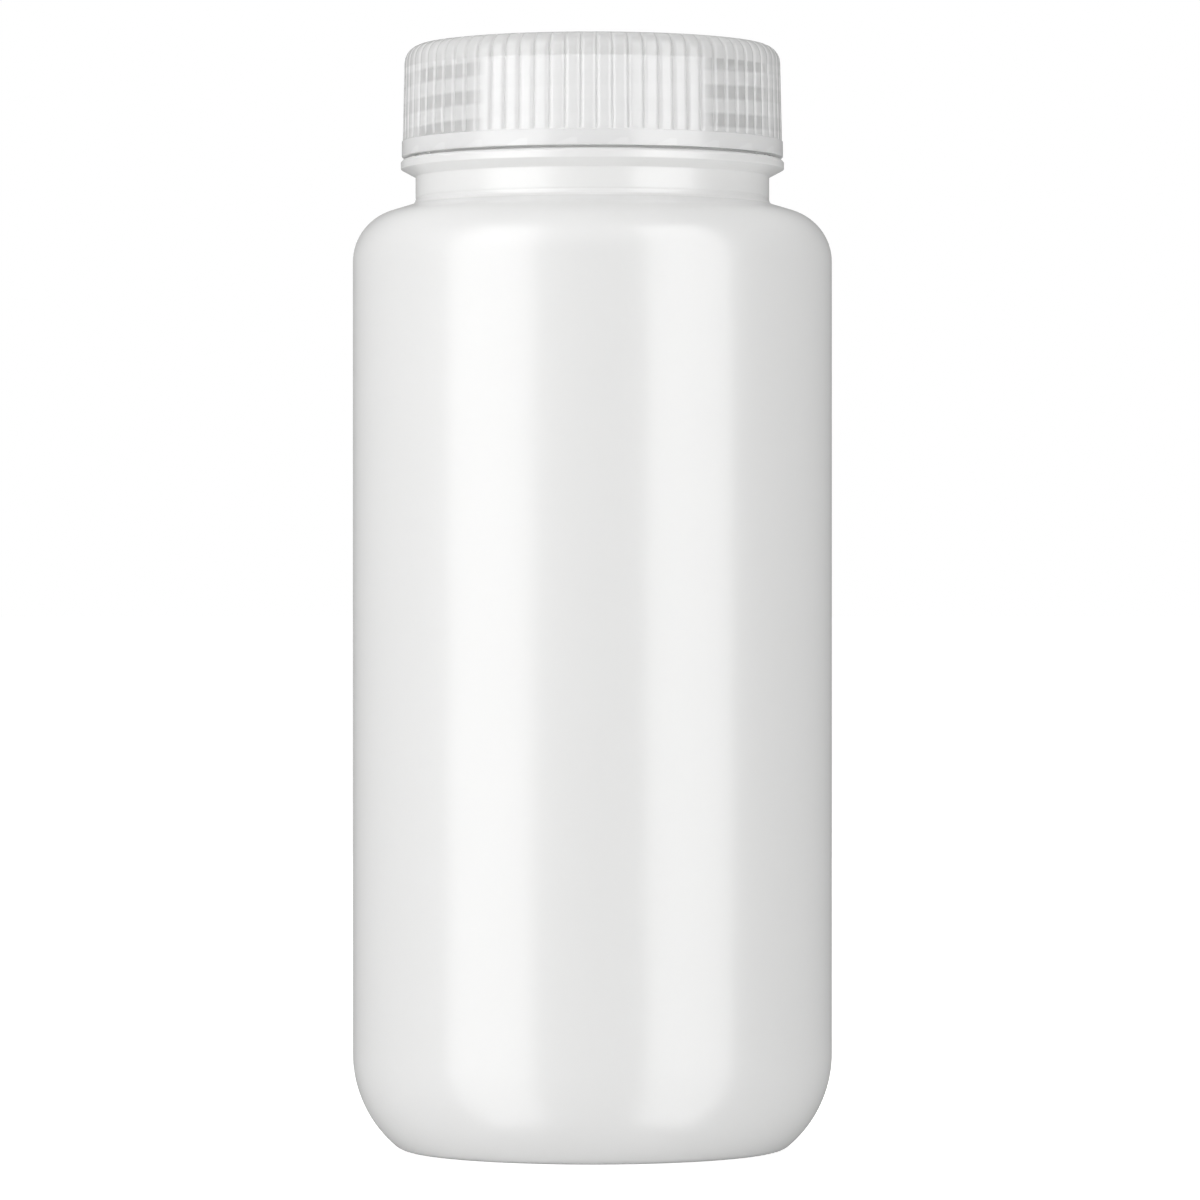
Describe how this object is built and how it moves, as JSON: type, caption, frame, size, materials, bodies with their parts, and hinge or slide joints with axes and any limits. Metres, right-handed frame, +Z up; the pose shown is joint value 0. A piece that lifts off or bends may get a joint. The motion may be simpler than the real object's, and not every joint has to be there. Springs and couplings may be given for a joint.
{
  "type": "wide-mouth plastic bottle",
  "caption": "Round wide-mouth plastic bottle with a ribbed screw cap and a liner, for storing and pouring liquids, powders and samples.",
  "frame": {"origin": "centre of the base, on the surface that the bottle stands on", "axes": "+Z up along the bottle's axis; -Y is the side that the picture shows"},
  "size_m": [0.073, 0.073, 0.168],
  "materials": {
    "bottle_plastic": "milky natural plastic, satin",
    "cap_plastic": "translucent natural plastic, satin",
    "liner_foam": "white foamed plastic, matt"
  },
  "bodies": {
    "bottle_body": {"bottle": "bottle_plastic"},
    "liner_body": {"cap_liner": "liner_foam"},
    "cap_body": {"screw_cap": "cap_plastic"}
  },
  "joints": [
    {"name": "cap_rise", "type": "slide", "parent": "bottle_body", "child": "liner_body", "axis": [0, 0, 1], "range_m": [0, 0.01482]},
    {"name": "cap_turn", "type": "hinge", "parent": "liner_body", "child": "cap_body", "pos_m": [0, 0, 0.1595], "axis": [0, 0, 1], "range_deg": [0, 1260]}
  ],
  "couplings": [
    {"joint": "cap_rise", "follows": "cap_turn", "m_per_rad": 0.00067371}
  ]
}
